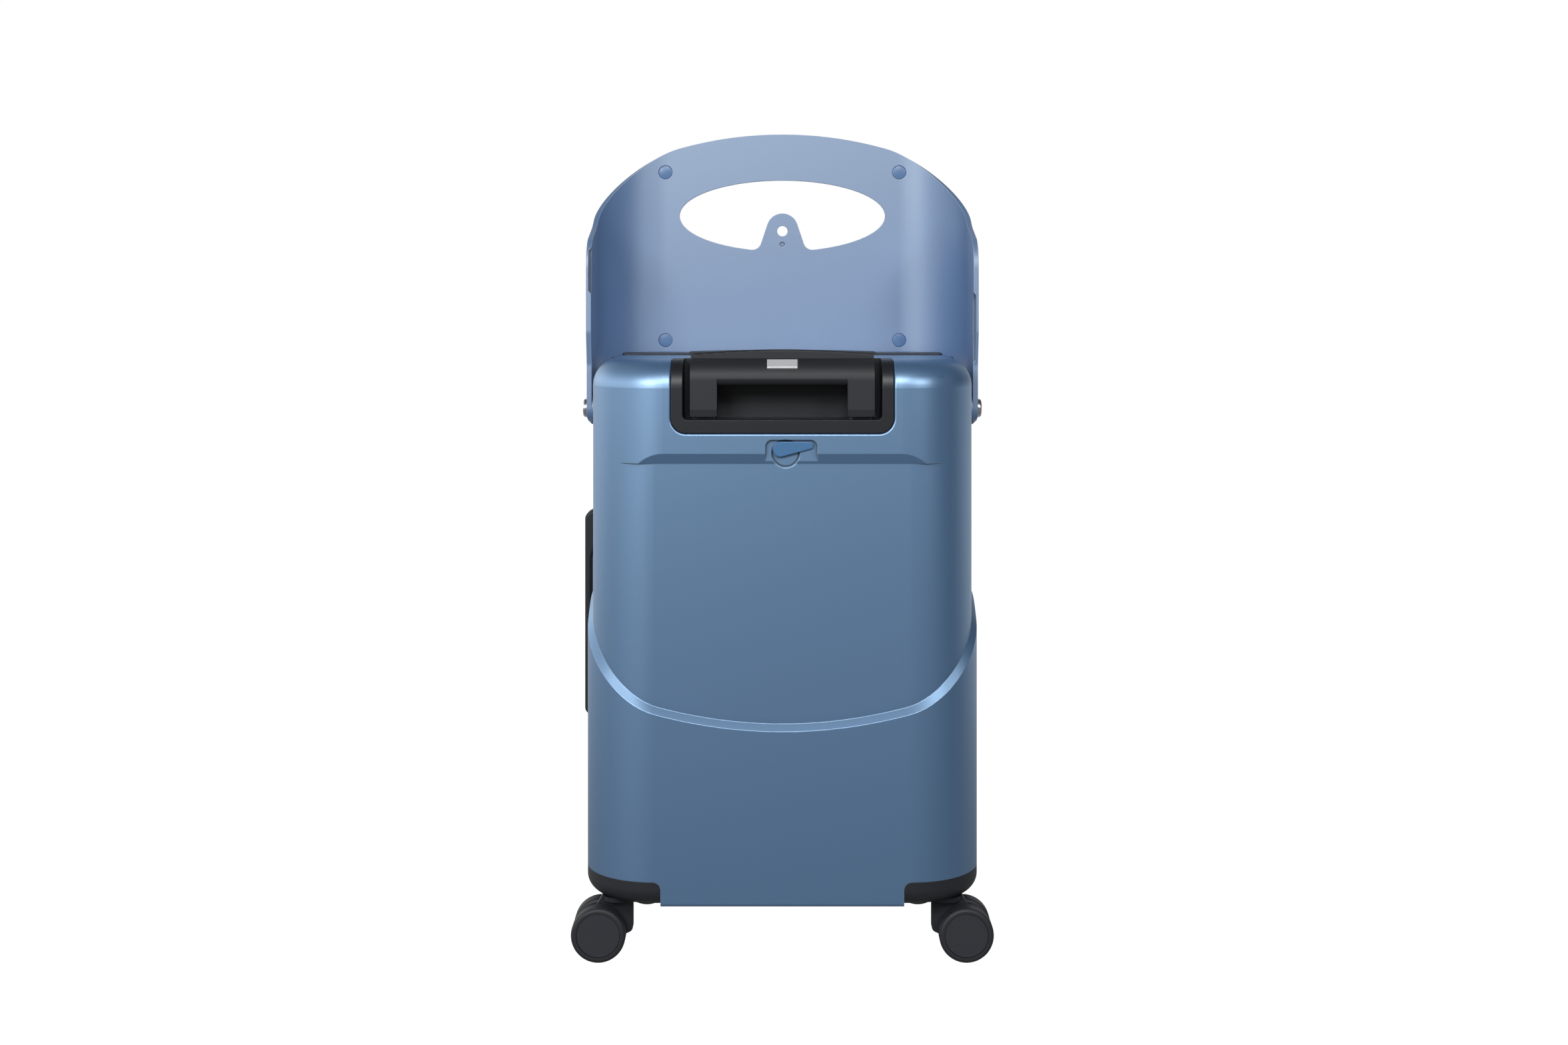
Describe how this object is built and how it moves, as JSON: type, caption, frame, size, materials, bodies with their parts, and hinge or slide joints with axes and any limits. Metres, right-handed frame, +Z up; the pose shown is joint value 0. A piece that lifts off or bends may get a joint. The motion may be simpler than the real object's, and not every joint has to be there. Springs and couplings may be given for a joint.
{
  "type": "ride-on suitcase",
  "caption": "Hard-shell cabin suitcase with a fold-down guard panel a child sits in, a telescopic pull handle, a zipped front lid and swivelling twin-wheel casters.",
  "frame": {"origin": "on the floor under the middle of the object's box", "axes": "+Z up; -Y towards the viewer of the picture, the handle side; +X to the viewer's right"},
  "size_m": [0.372, 0.2363, 0.7435],
  "materials": {
    "blue_shell": "satin, fine moulded texture, pearl lustre",
    "blue_panel": "satin, pearl lustre",
    "blue_lever": "smooth satin",
    "black_plastic": "fine moulded grain",
    "black_grip": "fine moulded grain",
    "silver_button": "silver painted, smooth",
    "tube_aluminium": "satin anodised",
    "polished_steel": "polished",
    "bright_steel": "plain turned",
    "bumper_rubber": "soft, smooth",
    "zip_cloth": "woven",
    "zip_coil": "nylon coil",
    "zip_metal": "dark plated",
    "wheel_plastic": "plain moulded",
    "wheel_tyre": "smooth tread",
    "acetal": "plain"
  },
  "bodies": {
    "case": {"main_shell": "blue_shell", "handle_cup": "black_plastic", "outer_tubes": "tube_aluminium", "tube_shoes": "black_plastic", "pivot_bolts": "polished_steel", "pivot_bushes": "acetal", "pivot_nuts": "bright_steel", "latch_pin": "bright_steel", "side_handle_plates": "black_plastic", "carry_handle_plates": "black_plastic", "zip_tape_case": "zip_cloth", "zip_chain_case": "zip_coil", "lid_hinge_strip": "zip_cloth", "housing_back_left": "black_plastic", "housing_back_right": "black_plastic", "housing_front_left": "black_plastic", "housing_front_right": "black_plastic"},
    "guard": {"guard_panel": "blue_panel", "panel_bumpers": "bumper_rubber"},
    "latch": {"latch_lever": "blue_lever"},
    "trolley_middle": {"middle_tubes": "tube_aluminium", "tube_collars": "black_plastic"},
    "trolley_top": {"inner_tubes": "tube_aluminium", "grip": "black_grip"},
    "button": {"release_button": "silver_button"},
    "side_handle": {"side_handle": "black_grip", "side_handle_stops": "black_plastic"},
    "carry_handle": {"carry_handle": "black_grip", "carry_handle_stops": "black_plastic"},
    "lid": {"lid_shell": "blue_shell", "zip_tape_lid": "zip_cloth", "zip_chain_lid": "zip_coil"},
    "slider_upper": {"zip_slider_upper": "zip_metal"},
    "slider_lower": {"zip_slider_lower": "zip_metal"},
    "pull_upper": {"zip_pull_upper": "zip_metal"},
    "pull_lower": {"zip_pull_lower": "zip_metal"},
    "fork_back_left": {"caster_fork_back_left": "black_plastic", "caster_stem_back_left": "bright_steel"},
    "wheels_back_left": {"wheel_axle_back_left": "bright_steel", "wheel_hubs_back_left": "wheel_plastic", "wheel_tyres_back_left": "wheel_tyre"},
    "fork_back_right": {"caster_fork_back_right": "black_plastic", "caster_stem_back_right": "bright_steel"},
    "wheels_back_right": {"wheel_axle_back_right": "bright_steel", "wheel_hubs_back_right": "wheel_plastic", "wheel_tyres_back_right": "wheel_tyre"},
    "fork_front_left": {"caster_fork_front_left": "black_plastic", "caster_stem_front_left": "bright_steel"},
    "wheels_front_left": {"wheel_axle_front_left": "bright_steel", "wheel_hubs_front_left": "wheel_plastic", "wheel_tyres_front_left": "wheel_tyre"},
    "fork_front_right": {"caster_fork_front_right": "black_plastic", "caster_stem_front_right": "bright_steel"},
    "wheels_front_right": {"wheel_axle_front_right": "bright_steel", "wheel_hubs_front_right": "wheel_plastic", "wheel_tyres_front_right": "wheel_tyre"}
  },
  "joints": [
    {"name": "guard_pivot", "type": "hinge", "parent": "case", "child": "guard", "pos_m": [0, 0, 0.481], "axis": [1, 0, 0], "range_deg": [0, 180]},
    {"name": "latch_turn", "type": "hinge", "parent": "case", "child": "latch", "pos_m": [-0.0018, -0.116, 0.453], "axis": [0, 1, 0], "range_deg": [0, 96]},
    {"name": "trolley_stage_one", "type": "slide", "parent": "case", "child": "trolley_middle", "axis": [0, 0, 1], "range_m": [0, 0.24]},
    {"name": "trolley_stage_two", "type": "slide", "parent": "trolley_middle", "child": "trolley_top", "axis": [0, 0, 1], "range_m": [0, 0.25]},
    {"name": "button_press", "type": "slide", "parent": "trolley_top", "child": "button", "axis": [0, 0.6428, -0.766], "range_m": [0, 0.003], "stiffness_N_per_m": 400},
    {"name": "side_handle_pull", "type": "slide", "parent": "case", "child": "side_handle", "axis": [-1, 0, 0], "range_m": [0, 0.014], "stiffness_N_per_m": 150},
    {"name": "carry_handle_lift", "type": "slide", "parent": "case", "child": "carry_handle", "axis": [0, 0, 1], "range_m": [0, 0.016]},
    {"name": "lid_hinge", "type": "hinge", "parent": "case", "child": "lid", "pos_m": [0.172, 0.064, 0.29], "axis": [0, 0, -1], "range_deg": [0, 120], "deforming": ["lid_hinge_strip"]},
    {"name": "zip_slide_upper", "type": "slide", "parent": "case", "child": "slider_upper", "axis": [0, 0, 1], "range_m": [0, 0.185]},
    {"name": "zip_slide_lower", "type": "slide", "parent": "case", "child": "slider_lower", "axis": [0, 0, 1], "range_m": [-0.09, 0]},
    {"name": "pull_swing_upper", "type": "hinge", "parent": "slider_upper", "child": "pull_upper", "pos_m": [-0.17275, 0.064, 0.262], "axis": [0, 1, 0], "range_deg": [0, 100]},
    {"name": "pull_swing_lower", "type": "hinge", "parent": "slider_lower", "child": "pull_lower", "pos_m": [-0.17275, 0.064, 0.232], "axis": [0, 1, 0], "range_deg": [0, 100]},
    {"name": "swivel_back_left", "type": "hinge", "parent": "case", "child": "fork_back_left", "pos_m": [-0.146, -0.079, 0.06], "axis": [0, 0, 1], "continuous": true},
    {"name": "roll_back_left", "type": "hinge", "parent": "fork_back_left", "child": "wheels_back_left", "pos_m": [-0.162, -0.079, 0.024], "axis": [0, 1, 0], "continuous": true},
    {"name": "swivel_back_right", "type": "hinge", "parent": "case", "child": "fork_back_right", "pos_m": [0.146, -0.079, 0.06], "axis": [0, 0, 1], "continuous": true},
    {"name": "roll_back_right", "type": "hinge", "parent": "fork_back_right", "child": "wheels_back_right", "pos_m": [0.162, -0.079, 0.024], "axis": [0, 1, 0], "continuous": true},
    {"name": "swivel_front_left", "type": "hinge", "parent": "case", "child": "fork_front_left", "pos_m": [-0.146, 0.079, 0.06], "axis": [0, 0, 1], "continuous": true},
    {"name": "roll_front_left", "type": "hinge", "parent": "fork_front_left", "child": "wheels_front_left", "pos_m": [-0.13, 0.079, 0.024], "axis": [0, 1, 0], "continuous": true},
    {"name": "swivel_front_right", "type": "hinge", "parent": "case", "child": "fork_front_right", "pos_m": [0.146, 0.079, 0.06], "axis": [0, 0, 1], "continuous": true},
    {"name": "roll_front_right", "type": "hinge", "parent": "fork_front_right", "child": "wheels_front_right", "pos_m": [0.13, 0.079, 0.024], "axis": [0, 1, 0], "continuous": true}
  ]
}
